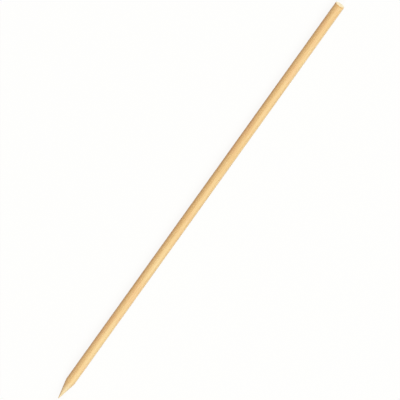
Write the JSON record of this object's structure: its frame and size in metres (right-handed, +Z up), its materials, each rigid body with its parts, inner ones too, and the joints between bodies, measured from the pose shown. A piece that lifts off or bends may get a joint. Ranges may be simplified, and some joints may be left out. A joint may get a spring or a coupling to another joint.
{
  "type": "wooden skewer",
  "caption": "Straight round wooden skewer with a cone-ground point and a flat sawn butt, for threading food or holding takeaway snacks.",
  "frame": {"origin": "on the surface that the skewer lies on, under the middle of its length", "axes": "+X runs along the skewer from the point towards the butt, +Z is up from the surface, and Y is across the stick"},
  "size_m": [0.2, 0.004, 0.004],
  "materials": {
    "pale_wood": "sanded and tumbled smooth, unvarnished"
  },
  "bodies": {
    "root": {"skewer": "pale_wood"}
  },
  "joints": []
}
